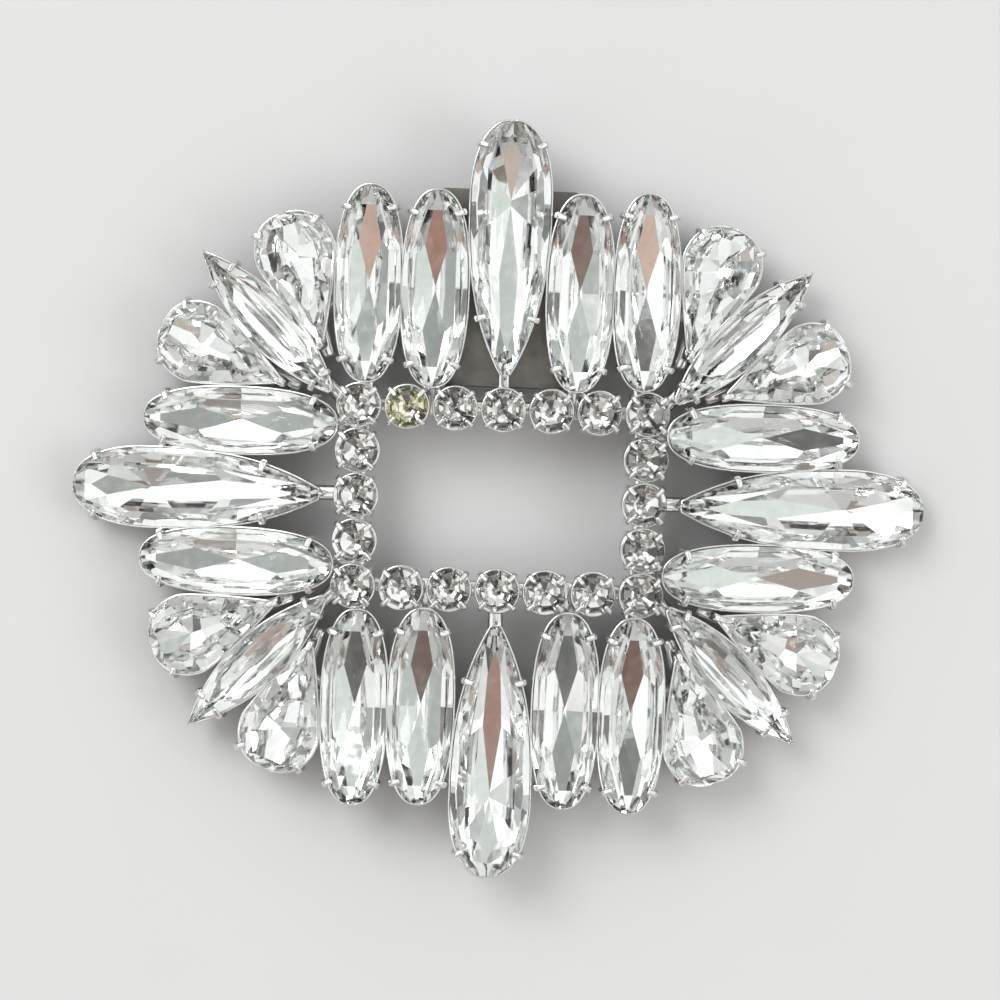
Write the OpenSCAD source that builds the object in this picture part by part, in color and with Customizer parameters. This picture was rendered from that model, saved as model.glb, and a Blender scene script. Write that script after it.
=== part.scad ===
// Rhinestone shoe buckle, millimetres. It lies face up on its back: +Z is up, +X is east and +Y is
// north, the side that faces the heel. The origin is below the middle of the rectangular hole, on the
// surface that the buckle lies on. All stones follow an arch that is round about the Y axis.

/* [Round stones] */
// Round stones in the north and south rows, corners included
rounds_across = 7; // [7:2:9]
// Round stones in the west and east rows, corners included
rounds_down = 5; // [5:2:7]
// Diameter of a round stone
round_d = 3.35; // [3:0.05:3.5]
// Gap between neighbours in the north and south rows
round_gap_across = 0.45; // [0.35:0.05:0.8]
// Gap between neighbours in the west and east rows
round_gap_down = 0.22; // [0.2:0.02:0.8]
// Height of a round stone above its girdle's middle
round_crown = 0.85; // [0.6:0.05:1.2]
// Depth of a round stone below its girdle's middle
round_pavilion = 1.4; // [1:0.05:1.8]

/* [Long pear stones] */
// Length of a long pear stone
long_pear_l = 20.3; // [18:0.1:23]
// Width of a long pear stone
long_pear_w = 6.2; // [5.6:0.1:6.6]
// Height of a long pear stone above its girdle's middle
long_pear_crown = 1.3; // [1:0.05:2]
// Depth of a long pear stone below its girdle's middle
long_pear_pavilion = 1.95; // [1.5:0.05:2]

/* [Long oval stones] */
// Length of a long oval stone
oval_l = 15.3; // [13:0.1:16]
// Width of a long oval stone
oval_w = 5.1; // [4.6:0.1:5.4]
// Height of a long oval stone above its girdle's middle
oval_crown = 1.15; // [0.9:0.05:1.8]
// Depth of a long oval stone below its girdle's middle
oval_pavilion = 1.85; // [1.4:0.05:2]
// Gap between two ovals side by side
oval_gap = 0.15; // [0.1:0.01:0.3]

/* [Short pear stones] */
// Length of a short pear stone
short_pear_l = 10.5; // [9:0.1:11.5]
// Width of a short pear stone
short_pear_w = 6.2; // [5.6:0.1:6.6]
// Height of a short pear stone above its girdle's middle
short_pear_crown = 1.25; // [1:0.05:1.8]
// Depth of a short pear stone below its girdle's middle
short_pear_pavilion = 1.9; // [1.4:0.05:2]

/* [Navettes] */
// Length of a navette, which is pointed at both ends
navette_l = 15; // [13:0.1:16.5]
// Width of a navette
navette_w = 3.8; // [3.4:0.1:4]
// Height of a navette above its girdle's middle
navette_crown = 1; // [0.8:0.05:1.6]
// Depth of a navette below its girdle's middle
navette_pavilion = 1.4; // [1.2:0.05:1.8]

/* [Cut] */
// Thickness of every stone's girdle
girdle_t = 0.3; // [0.2:0.02:0.4]

/* [Layout] */
// Radius of the arch that the girdles follow
arch_radius = 133; // [110:1:200]
// Gap from the round stones' rows to the inner ends of the ovals
oval_end_gap = 0.25; // [0.2:0.05:0.6]
// How far the ovals that meet the rows between two round stones nest into them
nest_depth = 0.25; // [0:0.05:0.3]
// Gap from the round stones' rows to the tips of the long pears
pear_tip_gap = 0.6; // [0.4:0.05:1]
// Lean of a corner's northern short pear, east of north
north_pear_lean = 18.4; // [16:0.1:21]
// Lean of a navette, east of north
navette_lean = 45; // [44:0.5:46]
// Lean of a corner's eastern short pear, east of north
east_pear_lean = 67.7; // [66:0.1:70]

/* [Settings] */
// Height of a setting's wall from its foot to the girdle's middle
setting_depth = 2.3; // [2.2:0.05:3]
// Thickness of a setting's wall
setting_wall = 0.3; // [0.25:0.01:0.35]
// How far a setting's wall stands inside the stone's outline
rim_inset = 0.05; // [0.03:0.01:0.1]
// Height left free between a stone and its setting's rim
seat_gap = 0.2; // [0.15:0.01:0.3]
// Width of a large stone's claw
claw_w = 0.6; // [0.5:0.05:0.8]
// Thickness of a large stone's claw
claw_t = 0.4; // [0.3:0.02:0.45]
// Width of a round stone's claw
round_claw_w = 0.45; // [0.35:0.05:0.5]
// Thickness of a round stone's claw
round_claw_t = 0.3; // [0.25:0.01:0.35]
// Gap between a claw and its stone
claw_gap = 0.12; // [0.1:0.01:0.16]

/* [Back] */
// Width of the wires behind the stones
wire_w = 1.2; // [0.9:0.1:1.6]
// Thickness of the wires behind the stones
wire_t = 0.8; // [0.6:0.05:1]
// Width of the clip's plate
plate_w = 12; // [11:0.1:13]
// Length of the clip's plate
plate_l = 15.6; // [15:0.1:17]
// Thickness of the clip's plate
plate_t = 0.8; // [0.6:0.05:0.9]

/* [Clip] */
// Width of the clip's leaf
clip_w = 9; // [7:0.1:9.2]
// Thickness of the clip's leaf
clip_t = 0.6; // [0.5:0.05:0.8]
// Outer radius of the clip's barrel
barrel_r = 1.15; // [1:0.05:1.2]
// Radius of the clip's pin
pin_r = 0.5; // [0.4:0.02:0.6]
// Running gap round the barrel and its pin
clip_gap = 0.15; // [0.1:0.01:0.2]
// Opening between the jaw's edge and the plate
jaw_gap = 0.5; // [0.3:0.05:0.8]

/* [Hidden] */
// Columns of the table of kinds of stone
NAME = 0;
WIDE = 1;
LONG = 2;
CROWN = 3;
PAVILION = 4;
KEEL = 5;
CLAWS = 6;
TIP_CLAW = 7;
// The kinds of large stone. The pavilion's keel keeps a share of the length. Pairs of claws stand at
// shares of the length from the inner end, and a short pear has a single claw at its tip, because its
// neighbours leave no room beside it.
kinds = [
    ["long_pear", long_pear_w, long_pear_l, long_pear_crown, long_pear_pavilion, 0.04, [0.24, 0.91], false],
    ["oval", oval_w, oval_l, oval_crown, oval_pavilion, 0.04, [0.11, 0.89], false],
    ["short_pear", short_pear_w, short_pear_l, short_pear_crown, short_pear_pavilion, 0.04, [0.9], true],
    ["navette", navette_w, navette_l, navette_crown, navette_pavilion, 0.4, [0.1, 0.84], false]
];
LONG_PEAR = 0;
OVAL = 1;
SHORT_PEAR = 2;
NAVETTE = 3;

// Corners of a large stone's outline and of a round stone's, each a multiple of 4
large_corners = 20;
round_corners = 16;
// Above 2, the rounded ends of ovals and pears are blunter than an ellipse's
oval_fullness = 2.4;
pear_fullness = 2.25;
// A pear is widest at this share of its length from the tip, and its flanks swell by these powers
pear_heart = 0.69;
long_pear_swell = 2.6;
short_pear_swell = 1.2;
// Shares of the crown: height of the middle facets, and how far each ring keeps its outline
mid_rise = 0.58;
mid_share = [0.84, 0.9];
table_share = [0.62, 0.78];
round_mid_share = [0.82, 0.82];
round_table_share = [0.55, 0.55];
round_keel_share = 0.04;

// Places of the rows and columns of round stones
pitch_x = round_d + round_gap_across;
pitch_y = round_d + round_gap_down;
column_x = pitch_x * (rounds_across - 1) / 2;
row_y = pitch_y * (rounds_down - 1) / 2;
// Where the ovals and long pears start
oval_start_x = column_x + round_d / 2 + oval_end_gap;
oval_start_y = row_y + round_d / 2 + oval_end_gap;
pear_start_x = column_x + round_d / 2 + pear_tip_gap;
pear_start_y = row_y + round_d / 2 + pear_tip_gap;
// Axes of the ovals, tied to the long pear between them. Their widest places stand side by side only
// in the north and south, so the west and east ovals nest closer.
pear_oval_gap = 0.07;
side_oval_nest = 0.1;
inner_oval_x = (long_pear_w + oval_w) / 2 + pear_oval_gap;
outer_oval_x = inner_oval_x + oval_w + oval_gap;
side_oval_y = (long_pear_w + oval_w) / 2 - side_oval_nest;
// The corner stones are placed from the corner round stone's middle. An oval that reaches further
// past it than this moves them outwards.
corner_room = [2.15, 1];
corner_x = max(column_x, outer_oval_x + oval_w / 2 - corner_room.x);
corner_y = max(row_y, side_oval_y + oval_w / 2 - corner_room.y);
north_pear_rise = 4.75;
navette_offset = [2.02, 0.86];
east_pear_offset = [6.07, -1.5];
north_pear_start = [corner_x + short_pear_w / 2, corner_y + north_pear_rise];
navette_start = [corner_x, corner_y] + navette_offset;
east_pear_start = [corner_x, corner_y + short_pear_w / 2] + east_pear_offset;

// Columns of the table of large stones
KIND = 1;
START = 2;
LEAN = 3;
// Large stones of the north-east quarter: name, kind, where its inner end is, lean east of north
quarter = [
    ["inner_oval", OVAL, [inner_oval_x, oval_start_y - nest_depth], 0],
    ["outer_oval", OVAL, [outer_oval_x, oval_start_y], 0],
    ["upper_pear", SHORT_PEAR, north_pear_start, north_pear_lean],
    ["navette", NAVETTE, navette_start, navette_lean],
    ["lower_pear", SHORT_PEAR, east_pear_start, east_pear_lean],
    ["side_oval", OVAL, [oval_start_x - nest_depth, side_oval_y], 90]
];
axis_stones = [
    ["north_pear", LONG_PEAR, [0, pear_start_y], 0],
    ["east_pear", LONG_PEAR, [pear_start_x, 0], 90],
    ["south_pear", LONG_PEAR, [0, -pear_start_y], 180],
    ["west_pear", LONG_PEAR, [-pear_start_x, 0], 270]
];
// The quarters, each a mirror image of the north-east one
quarters = [["north_east", 1, 1], ["north_west", -1, 1], ["south_east", 1, -1], ["south_west", -1, -1]];
corner_stones = [
    for (q = quarters)
        for (s = quarter) [
            str(q[0], "_", s[NAME]),
            s[KIND],
            [q[1] * s[START].x, q[2] * s[START].y],
            atan2(q[1] * sin(s[LEAN]), q[2] * cos(s[LEAN]))
        ]
];
large_stones = concat(axis_stones, corner_stones);

// The arch: turn of its normal, and height of the girdles, above the point x
function arch_turn(x) = asin(x / arch_radius);
side_turn = arch_turn(pear_start_x + long_pear_l / 2);
// Height of the girdles in the middle, with the feet of the west and east settings at 0
top_z = arch_radius * (1 - cos(side_turn)) + (long_pear_l / 2 - rim_inset) * sin(side_turn)
    + setting_depth * cos(side_turn);
function arch_z(x) = top_z - arch_radius * (1 - cos(arch_turn(x)));

// How far the wires and the plate go into the settings' feet
wire_sink = 0.1;
plate_sink = 0.05;
foot_z = top_z - setting_depth;
plate_z = foot_z + plate_sink - plate_t;
plate_corner_r = 1;
barrel_z = plate_z - clip_gap - barrel_r;
ear_t = 0.8;
ear_r = barrel_r - 0.05;
ear_edge = 0.4;
plate_start_y = row_y + round_d / 2;
barrel_y = plate_start_y + plate_l - ear_r - ear_edge;
// The clip's leaf lies on the surface between these two places, and its jaw stands further in
leaf_start_y = plate_start_y + 3.6;
leaf_end_y = barrel_y - 2;
jaw_y = plate_start_y + 0.7;
jaw_rise = 0.9;
jaw_run = 1.6;
jaw_lean = 0.1;

// Ring of wire behind the large stones, as half-axes of its middle line
ring_reach = [13.1, 11.4];
ring_x = column_x + ring_reach.x;
ring_y = row_y + ring_reach.y;
ring_steps = 48;
// A spoke of wire runs out under each stone from its inner end, and back to the rows or the next wire
spoke_run = 4.5;
long_spoke_back = 2.4;
short_spoke_back = 1.2;

// Claws: how far they bend over the stone, how far their feet are above the setting's foot, the
// height of the slope under their backs, how far below the girdle they join the setting's wall, by
// what slope, their tips' share of their thickness, and the room that they leave above the girdle
claw_over = 0.45;
claw_foot = 0.3;
claw_chamfer = 0.6;
claw_neck = 0.5;
claw_root_drop = 0.4;
claw_tip_share = 0.6;
claw_lift = 0.1;
// Their tips rise at these shares of the crown's slope
claw_slope = 0.88;
round_claw_slope = 0.65;
// Sides of a full circle
tube_sides = 32;
barrel_sides = 48;
arch_sides = 180;

function direction(lean) = [sin(lean), cos(lean)];
function middle_of(s) = s[START] + kinds[s[KIND]][LONG] / 2 * direction(s[LEAN]);

// Half width of a pear at a share of its length from the tip
function flank(share, swell) = 1 - pow(1 - share / pear_heart, swell);
function bulge(angle, fullness) = pow(abs(sin(angle)), 2 / fullness) * sign(sin(angle));

// Right-hand side of each outline from the inner end to the outer one, as shares of half the width
// and of the length
function oval_side(n) = [for (i = [0:n]) let (a = 180 * i / n - 90)
    [bulge(a + 90, oval_fullness), (1 + bulge(a, oval_fullness)) / 2]];
function navette_side(n) = [for (i = [0:n]) let (t = 2 * i / n - 1) [1 - t * t, (1 + t) / 2]];
function pear_side(n, swell) = concat(
    [for (i = [0:n / 2 - 1]) let (t = pear_heart * i / (n / 2)) [flank(t, swell), t]],
    [for (i = [0:n / 2]) let (a = 180 * i / n)
        [bulge(90 - a, pear_fullness), pear_heart + (1 - pear_heart) * bulge(a, pear_fullness)]]
);
function side_of(kind, n) =
    kind == OVAL ? oval_side(n) :
    kind == NAVETTE ? navette_side(n) :
    kind == LONG_PEAR ? pear_side(n, long_pear_swell) :
    pear_side(n, short_pear_swell);

// Whole outline, anticlockwise from the inner end, about the middle of the stone
function outline_of(kind) = let (
    side = side_of(kind, large_corners / 2),
    w = kinds[kind][WIDE] / 2,
    l = kinds[kind][LONG],
    n = large_corners / 2
) concat(
    [for (i = [0:n]) [w * side[i].x, l * (side[i].y - 0.5)]],
    [for (i = [n - 1:-1:1]) [-w * side[i].x, l * (side[i].y - 0.5)]]
);
round_outline = [for (i = [0:round_corners - 1]) let (a = 360 * i / round_corners - 90)
    round_d / 2 * [cos(a), sin(a)]];
// Where the facets centre, from the middle of the stone's length
function heart_of(kind) =
    kind == LONG_PEAR || kind == SHORT_PEAR ? kinds[kind][LONG] * (pear_heart - 0.5) : 0;

// Outline with every edge moved inwards by d
function unit(v) = v / norm(v);
function inward(a, b) = let (e = unit(b - a)) [-e.y, e.x];
function inset(points, d) = let (n = len(points)) [
    for (i = [0:n - 1]) let (
        before = inward(points[(i + n - 1) % n], points[i]),
        after = inward(points[i], points[(i + 1) % n])
    ) points[i] + d * (before + after) / (1 + before * after)
];

// A cut stone about its girdle's middle: table, star, kite and girdle facets above, and a pavilion
// that runs down to a keel
module cut_stone(outline, heart, length, crown, pavilion, mid, table, keel) {
    n = len(outline);
    h = n / 2;
    top = girdle_t / 2;
    mid_z = top + (crown - top) * mid_rise;
    points = concat(
        [for (p = outline) [p.x, p.y, top]],
        [for (p = outline) [p.x, p.y, -top]],
        [for (j = [0:h - 1]) let (p = outline[2 * j + 1])
            [p.x * mid.x, heart + (p.y - heart) * mid.y, mid_z]],
        [for (j = [0:h - 1]) let (p = outline[2 * j])
            [p.x * table.x, heart + (p.y - heart) * table.y, crown]],
        [[0, heart - keel * (length / 2 + heart), -pavilion]],
        [[0, heart + keel * (length / 2 - heart), -pavilion]]
    );
    mid_0 = 2 * n;
    table_0 = mid_0 + h;
    keel_in = table_0 + h;
    keel_out = keel_in + 1;
    widest = n / 4;
    faces = concat(
        [for (i = [0:n - 1]) [i, (i + 1) % n, n + (i + 1) % n]],
        [for (i = [0:n - 1]) [i, n + (i + 1) % n, n + i]],
        [for (j = [0:h - 1]) [mid_0 + j, 2 * j + 1, 2 * j]],
        [for (j = [0:h - 1]) [mid_0 + j, (2 * j + 2) % n, 2 * j + 1]],
        [for (j = [0:h - 1]) [table_0 + j, mid_0 + j, 2 * j]],
        [for (j = [0:h - 1]) [mid_0 + (j + h - 1) % h, table_0 + j, 2 * j]],
        [for (j = [0:h - 1]) [table_0 + j, table_0 + (j + 1) % h, mid_0 + j]],
        [[for (j = [h - 1:-1:0]) table_0 + j]],
        [for (i = [0:n - 1]) let (outer = i >= widest && i < n - widest)
            [outer ? keel_out : keel_in, n + i, n + (i + 1) % n]],
        [[n + widest, keel_out, keel_in]],
        [[n + n - widest, keel_in, keel_out]]
    );
    polyhedron(points, faces, convexity = 2);
}

module on_arch(x, y, lean) {
    translate([x, y, arch_z(x)]) rotate([0, arch_turn(x), 0]) rotate([0, 0, -lean]) children();
}

module large_stone(s) {
    kind = kinds[s[KIND]];
    place = middle_of(s);
    color("gainsboro")
        on_arch(place.x, place.y, s[LEAN])
            cut_stone(outline_of(s[KIND]), heart_of(s[KIND]), kind[LONG], kind[CROWN], kind[PAVILION],
                mid_share, table_share, kind[KEEL]);
}

// Puts a copy at each round stone
module at_rounds() {
    for (i = [0:rounds_across - 1])
        for (j = [0:rounds_down - 1])
            if (i == 0 || j == 0 || i == rounds_across - 1 || j == rounds_down - 1)
                on_arch(i * pitch_x - column_x, j * pitch_y - row_y, 0) children();
}

module round_stones() {
    color("gainsboro")
        at_rounds()
            cut_stone(round_outline, 0, round_d, round_crown, round_pavilion,
                round_mid_share, round_table_share, round_keel_share);
}

// A claw whose stone's edge is at the origin, with the stone on the -Y side: it stands on the
// setting's wall, passes the girdle and bends over the crown. Its foot reaches in by root.
module claw(w, t, slope, root) {
    out = claw_gap + t;
    foot = claw_foot - setting_depth;
    top = girdle_t / 2 + claw_gap + claw_lift;
    rise = slope * claw_over;
    tip_t = claw_tip_share * t;
    neck = -girdle_t / 2 - claw_neck;
    rotate([90, 0, 90])
        translate([0, 0, -w / 2])
            linear_extrude(w)
                polygon([
                    [-root, foot],
                    [claw_gap, foot],
                    [out, foot + claw_chamfer],
                    [out, top],
                    [claw_gap / 2, top + t + rise / 2],
                    [-claw_over, top + tip_t + rise],
                    [-claw_over, top + rise],
                    [claw_gap, girdle_t / 2],
                    [claw_gap, neck],
                    [-root, neck - claw_root_drop]
                ]);
}

// Height of a setting's rim, clear of the pavilion that slopes down inside it
function rim_z(half_width, pavilion) = -girdle_t / 2 - seat_gap
    - (rim_inset + setting_wall) * (pavilion - girdle_t / 2) / half_width;

// Place on one side of an outline at a share of the length, with the way that it faces
function on_side(side, share, w, l) = let (
    i = max([for (k = [0:len(side) - 2]) side[k].y <= share ? k : 0]),
    a = [w / 2 * side[i].x, l * (side[i].y - 0.5)],
    b = [w / 2 * side[i + 1].x, l * (side[i + 1].y - 0.5)],
    f = (l * (share - 0.5) - a.y) / (b.y - a.y)
) [a + (b - a) * f, atan2(b.y - a.y, b.x - a.x)];

module large_setting(s) {
    kind = kinds[s[KIND]];
    place = middle_of(s);
    outline = outline_of(s[KIND]);
    side = side_of(s[KIND], large_corners / 2);
    rim = rim_z(kind[WIDE] / 2, kind[PAVILION]);
    slope = (kind[CROWN] - girdle_t / 2) * mid_rise / (kind[WIDE] / 2 * (1 - mid_share.x));
    on_arch(place.x, place.y, s[LEAN]) {
        translate([0, 0, -setting_depth])
            linear_extrude(setting_depth + rim)
                difference() {
                    polygon(inset(outline, rim_inset));
                    polygon(inset(outline, rim_inset + setting_wall));
                }
        for (share = kind[CLAWS])
            for (flip = [0, 1])
                mirror([flip, 0, 0])
                    let (at = on_side(side, share, kind[WIDE], kind[LONG]))
                        translate([at[0].x, at[0].y, 0])
                            rotate([0, 0, at[1] + 180])
                                claw(claw_w, claw_t, slope * claw_slope, rim_inset + setting_wall / 2);
        if (kind[TIP_CLAW])
            translate([0, -kind[LONG] / 2, 0])
                rotate([0, 0, 180])
                    claw(claw_w, claw_t, slope * claw_slope, rim_inset + 2 * setting_wall);
    }
}

module round_setting() {
    wall_r = round_d / 2 - rim_inset;
    rim = rim_z(round_d / 2, round_pavilion);
    slope = (round_crown - girdle_t / 2) * mid_rise / (round_d / 2 * (1 - round_mid_share.x));
    translate([0, 0, -setting_depth])
        difference() {
            cylinder(h = setting_depth + rim, r = wall_r, $fn = tube_sides);
            translate([0, 0, -1])
                cylinder(h = setting_depth + rim + 2, r = wall_r - setting_wall, $fn = tube_sides);
        }
    for (a = [45:90:315])
        rotate([0, 0, a])
            translate([0, round_d / 2, 0])
                claw(round_claw_w, round_claw_t, slope * round_claw_slope, rim_inset + setting_wall / 2);
}

// Everything that is between two radii below the arch of the girdles
module arch_shell(from_depth, to_depth) {
    reach = 2 * (pear_start_y + long_pear_l);
    translate([0, reach / 2, top_z - arch_radius])
        rotate([90, 0, 0])
            difference() {
                cylinder(h = reach, r = arch_radius - from_depth, $fn = arch_sides);
                translate([0, 0, -1])
                    cylinder(h = reach + 2, r = arch_radius - to_depth, $fn = arch_sides);
            }
}

module ellipse(half_x, half_y) {
    polygon([
        for (i = [0:ring_steps - 1])
            let (a = 360 * i / ring_steps)
                [half_x * cos(a), half_y * sin(a)]
    ]);
}

// Plan of the wires: a rectangle under the round stones, a ring, and a spoke under each stone
module wire_plan() {
    difference() {
        square([2 * column_x + wire_w, 2 * row_y + wire_w], center = true);
        square([2 * column_x - wire_w, 2 * row_y - wire_w], center = true);
    }
    difference() {
        ellipse(ring_x + wire_w / 2, ring_y + wire_w / 2);
        ellipse(ring_x - wire_w / 2, ring_y - wire_w / 2);
    }
    for (s = large_stones)
        let (back = s[KIND] == OVAL || s[KIND] == LONG_PEAR ? long_spoke_back : short_spoke_back)
            translate(s[START])
                rotate(-s[LEAN])
                    translate([-wire_w / 2, -back])
                        square([wire_w, spoke_run + back]);
}

module clip_plate() {
    r = plate_corner_r;
    translate([0, plate_start_y, plate_z])
        linear_extrude(plate_t)
            union() {
                translate([-plate_w / 2 + r, 0]) square([plate_w - 2 * r, plate_l]);
                translate([-plate_w / 2, r]) square([plate_w, plate_l - 2 * r]);
                for (x = [-plate_w / 2 + r, plate_w / 2 - r])
                    for (y = [r, plate_l - r])
                        translate([x, y]) circle(r, $fn = tube_sides);
            }
}

// Ear on the plate that holds one end of the clip's pin
module ear(side) {
    inner = clip_w / 2 + clip_gap;
    translate([side > 0 ? inner : -inner - ear_t, barrel_y, barrel_z])
        rotate([90, 0, 90])
            difference() {
                linear_extrude(ear_t)
                    union() {
                        circle(ear_r, $fn = tube_sides);
                        translate([-ear_r, 0]) square([2 * ear_r, barrel_r + clip_gap + plate_t / 2]);
                    }
                translate([0, 0, -1]) cylinder(h = ear_t + 2, r = pin_r + clip_gap, $fn = tube_sides);
            }
}

module frame() {
    color("silver") {
        for (s = large_stones)
            large_setting(s);
        at_rounds() round_setting();
        intersection() {
            translate([0, 0, -1]) linear_extrude(top_z + 2) wire_plan();
            arch_shell(setting_depth - wire_sink, setting_depth - wire_sink + wire_t);
        }
        clip_plate();
        for (side = [-1, 1])
            ear(side);
    }
}

module shoe_clip() {
    color("lightgray")
        translate([-clip_w / 2, 0, 0]) rotate([90, 0, 90]) {
            linear_extrude(clip_w)
                union() {
                    polygon([
                        [leaf_start_y, 0],
                        [leaf_end_y, 0],
                        [barrel_y, barrel_z - barrel_r],
                        [barrel_y, barrel_z],
                        [barrel_y - barrel_r * 0.9, barrel_z],
                        [leaf_end_y - clip_t / 2, clip_t],
                        [leaf_start_y + clip_t / 3, clip_t],
                        [jaw_y + jaw_run, jaw_rise + clip_t],
                        [jaw_y + clip_t, plate_z - jaw_gap],
                        [jaw_y, plate_z - jaw_gap],
                        [jaw_y + jaw_run - clip_t - jaw_lean, jaw_rise]
                    ]);
                    translate([barrel_y, barrel_z]) circle(barrel_r, $fn = barrel_sides);
                }
            translate([barrel_y, barrel_z, -clip_gap - ear_t])
                cylinder(h = clip_w + 2 * (clip_gap + ear_t), r = pin_r, $fn = tube_sides);
        }
}

for (s = large_stones)
    large_stone(s);
round_stones();
frame();
shoe_clip();
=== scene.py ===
"""A rhinestone shoe buckle, face up on its back on a pale floor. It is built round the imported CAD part, in
the same frame: x is east, y is north, z is up. Lengths are in millimetres and become metres when a mesh is
made. The camera looks down at the angle from which the buckle was photographed."""
import math
import random
from collections import namedtuple

import bmesh
import bpy
from mathutils import Euler, Matrix, Vector


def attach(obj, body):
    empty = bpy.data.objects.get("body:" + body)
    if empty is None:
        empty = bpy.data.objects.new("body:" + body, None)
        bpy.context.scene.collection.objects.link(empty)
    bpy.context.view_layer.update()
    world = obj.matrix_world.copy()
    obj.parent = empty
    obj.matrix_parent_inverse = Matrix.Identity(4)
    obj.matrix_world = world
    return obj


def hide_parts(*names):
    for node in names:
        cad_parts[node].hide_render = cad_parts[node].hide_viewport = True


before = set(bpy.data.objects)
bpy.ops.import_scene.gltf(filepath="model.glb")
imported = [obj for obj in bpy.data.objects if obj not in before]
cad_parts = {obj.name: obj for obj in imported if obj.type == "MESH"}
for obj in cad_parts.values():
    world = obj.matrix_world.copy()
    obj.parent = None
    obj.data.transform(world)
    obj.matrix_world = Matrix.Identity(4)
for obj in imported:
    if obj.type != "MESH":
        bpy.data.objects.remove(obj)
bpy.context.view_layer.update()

MM = 0.001
rng = random.Random(11)

# Stones, as in the part's source. The round ones stand in a rectangle, this many across and down
ROUNDS = (7, 5)
ROUND_D, GAP_X, GAP_Y = 3.35, 0.45, 0.22
GIRDLE = 0.3
# Claws stand in pairs at shares of the length. A tip claw stands on a stone's inner point
Kind = namedtuple("Kind", "width length crown pavilion claws tip_claw")
KINDS = {
    "long_pear": Kind(6.2, 20.3, 1.3, 1.95, (0.24, 0.91), False),
    "oval": Kind(5.1, 15.3, 1.15, 1.85, (0.11, 0.89), False),
    "short_pear": Kind(6.2, 10.5, 1.25, 1.9, (0.9,), True),
    "navette": Kind(3.8, 15.0, 1.0, 1.4, (0.1, 0.84), False),
    "round": Kind(ROUND_D, ROUND_D, 0.85, 1.4, (), False),
}
# Where a pear is widest, as a share of its length, and how full the curves of the outlines are
PEAR_HEART = 0.69
SWELL = {"long_pear": 2.6, "short_pear": 1.2}
OVAL_FULLNESS, PEAR_FULLNESS = 2.4, 2.25

# The arch over which the buckle bends, and the settings
ARCH_R = 133.0
SETTING_DEPTH, WALL, RIM_INSET, SEAT_GAP = 2.3, 0.3, 0.05, 0.2

# How far the large stones start from the round ones. The inner and side ovals nest closer
OVAL_REACH, PEAR_REACH, NEST = 0.25, 0.6, 0.25
# Gaps from a long pear to the oval beside it and between two ovals. A side oval nests against its pear
OVAL_PEAR_GAP, OVAL_GAP, SIDE_NEST = 0.07, 0.15, 0.1
pitch = Vector((ROUND_D + GAP_X, ROUND_D + GAP_Y))
corner = Vector((pitch.x * (ROUNDS[0] - 1) / 2, pitch.y * (ROUNDS[1] - 1) / 2))
oval_start = corner + Vector((1, 1)) * (ROUND_D / 2 + OVAL_REACH)
pear_start = corner + Vector((1, 1)) * (ROUND_D / 2 + PEAR_REACH)
beside_pear = (KINDS["long_pear"].width + KINDS["oval"].width) / 2
inner_x = beside_pear + OVAL_PEAR_GAP
outer_x = inner_x + KINDS["oval"].width + OVAL_GAP
side_y = beside_pear - SIDE_NEST

# Large stones of one quarter: name, kind, inner end, lean east of north in degrees
QUARTER = [
    ("inner_oval", "oval", (inner_x, oval_start.y - NEST), 0),
    ("outer_oval", "oval", (outer_x, oval_start.y), 0),
    ("upper_pear", "short_pear", (corner.x + 3.1, corner.y + 4.75), 18.4),
    ("navette", "navette", (corner.x + 2.02, corner.y + 0.86), 45),
    ("lower_pear", "short_pear", (corner.x + 6.07, corner.y + 1.6), 67.7),
    ("side_oval", "oval", (oval_start.x - NEST, side_y), 90),
]
QUARTERS = (("north_east", 1, 1), ("north_west", -1, 1), ("south_east", 1, -1), ("south_west", -1, -1))


def mirrored(start, lean, east, north):
    """A stone's inner end and lean in another quarter."""
    a = math.radians(lean)
    turned_lean = math.degrees(math.atan2(east * math.sin(a), north * math.cos(a)))
    return (east * start[0], north * start[1]), turned_lean


STONES = [
    ("north_pear", "long_pear", (0, pear_start.y), 0),
    ("east_pear", "long_pear", (pear_start.x, 0), 90),
    ("south_pear", "long_pear", (0, -pear_start.y), 180),
    ("west_pear", "long_pear", (-pear_start.x, 0), 270),
] + [(f"{side}_{name}", kind, *mirrored(start, lean, east, north))
     for side, east, north in QUARTERS for name, kind, start, lean in QUARTER]
ROUND_PLACES = [(i * pitch.x - corner.x, j * pitch.y - corner.y)
                for i in range(ROUNDS[0]) for j in range(ROUNDS[1])
                if i in (0, ROUNDS[0] - 1) or j in (0, ROUNDS[1] - 1)]


# Places on the arch
def arch_turn(x):
    """How far the arch has turned down at x, in radians."""
    return math.asin(x / ARCH_R)


half_pear = KINDS["long_pear"].length / 2
end_turn = arch_turn(pear_start.x + half_pear)
# Height of the girdles on the arch's crest, with the buckle's west and east ends on the floor
crest_z = (ARCH_R * (1 - math.cos(end_turn)) + (half_pear - RIM_INSET) * math.sin(end_turn)
           + SETTING_DEPTH * math.cos(end_turn))


def arch_z(x):
    """Height of the girdles at x."""
    return crest_z - ARCH_R * (1 - math.cos(arch_turn(x)))


def on_arch(x, y, lean):
    """Frame of a place on the arch, whose y axis leans east of north by lean degrees."""
    return (Matrix.Translation((x, y, arch_z(x))) @ Matrix.Rotation(arch_turn(x), 4, "Y")
            @ Matrix.Rotation(-math.radians(lean), 4, "Z"))


def place_of(kind, start, lean):
    """Frame of a stone's middle, from its inner end and its lean."""
    half = KINDS[kind].length / 2
    a = math.radians(lean)
    return on_arch(start[0] + half * math.sin(a), start[1] + half * math.cos(a), lean)


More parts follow.
